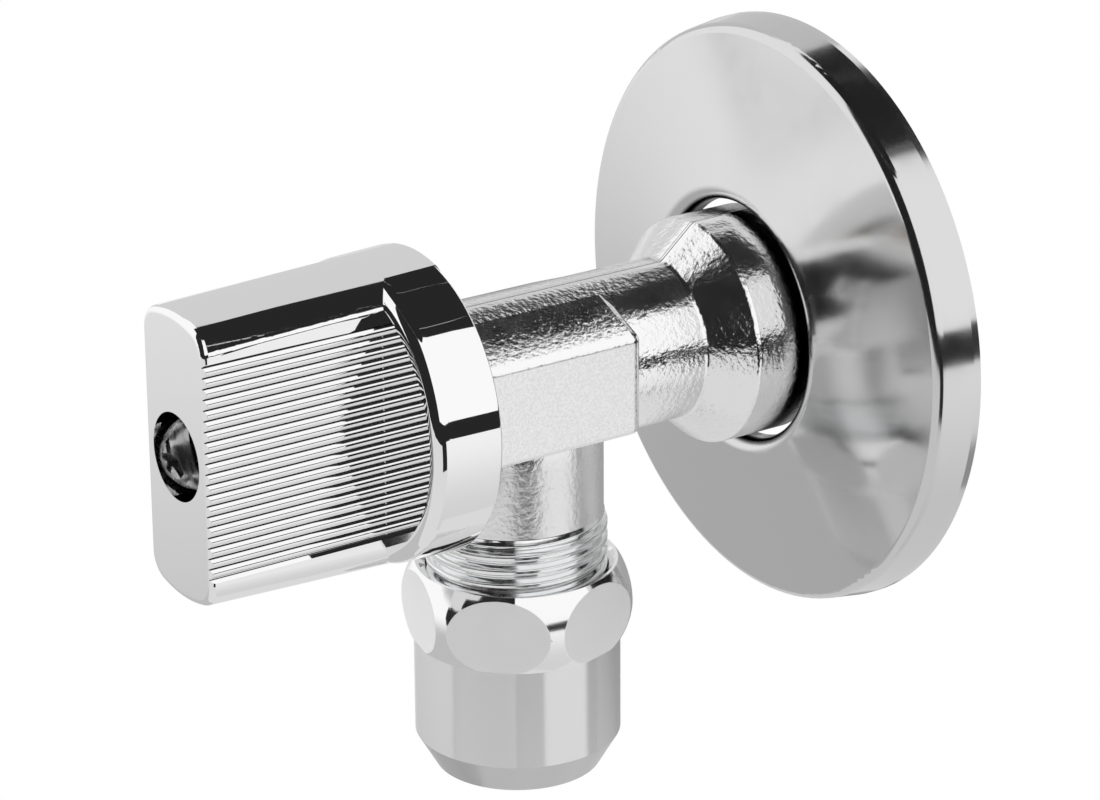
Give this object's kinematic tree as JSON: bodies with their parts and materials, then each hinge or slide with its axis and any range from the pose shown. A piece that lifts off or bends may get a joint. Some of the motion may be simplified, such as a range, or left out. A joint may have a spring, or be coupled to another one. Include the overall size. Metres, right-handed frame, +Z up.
{
  "type": "angle valve",
  "caption": "Chromed angle valve: half-inch wall inlet, sliding wall rosette, ribbed paddle knob on a non-rising spindle, and a compression nut that clamps a slim pipe below.",
  "frame": {"origin": "on the valve axis in the wall plane, where the rosette's rim meets the wall and the inlet thread goes in", "axes": "+Y along the valve axis into the wall, +Z up, the outlet points along -Z and the knob along -Y"},
  "size_m": [0.0554, 0.0779, 0.0655],
  "materials": {
    "cast_chrome": "chromed forging with a pebbled skin, satin on the flats",
    "rosette_chrome": "chromed pressing, softly polished",
    "knob_chrome": "mirror chrome",
    "nut_chrome": "turned and chromed",
    "steel": "zinc-plated",
    "brass": "as turned",
    "seal_rubber": "matte",
    "fibre": "pressed fibre",
    "slip_plastic": "smooth"
  },
  "bodies": {
    "valve": {"valve_body": "cast_chrome", "bonnet": "brass", "bonnet_gasket": "fibre", "thrust_washer": "slip_plastic"},
    "rosette": {"rosette": "rosette_chrome"},
    "handle": {"knob": "knob_chrome", "handle_screw": "steel", "spindle": "brass", "spindle_circlip": "steel", "spindle_o_ring_front": "seal_rubber", "spindle_o_ring_rear": "seal_rubber"},
    "stopper": {"plunger": "brass", "seat_washer": "seal_rubber", "washer_nut": "brass"},
    "clamp": {"cone_seal": "seal_rubber", "pressure_ring": "brass", "clamp_ring": "brass"},
    "nut": {"compression_nut": "nut_chrome"}
  },
  "joints": [
    {"name": "knob_turn", "type": "hinge", "parent": "valve", "child": "handle", "pos_m": [0, -0.0312, 0], "axis": [0, -1, 0], "range_deg": [0, 990]},
    {"name": "plunger_travel", "type": "slide", "parent": "valve", "child": "stopper", "axis": [0, -1, 0], "range_m": [0, 0.0028]},
    {"name": "rosette_slide", "type": "slide", "parent": "valve", "child": "rosette", "axis": [0, -1, 0], "range_m": [0, 0.0125]},
    {"name": "nut_travel", "type": "slide", "parent": "valve", "child": "clamp", "axis": [0, 0, -1], "range_m": [0, 0.0047]},
    {"name": "nut_turn", "type": "hinge", "parent": "clamp", "child": "nut", "pos_m": [0, -0.0312, 0], "axis": [0, 0, -1], "range_deg": [0, 1260]}
  ],
  "couplings": [
    {"joint": "plunger_travel", "follows": "knob_turn", "m_per_rad": 0.00015915},
    {"joint": "nut_travel", "follows": "nut_turn", "m_per_rad": 0.00021279}
  ]
}
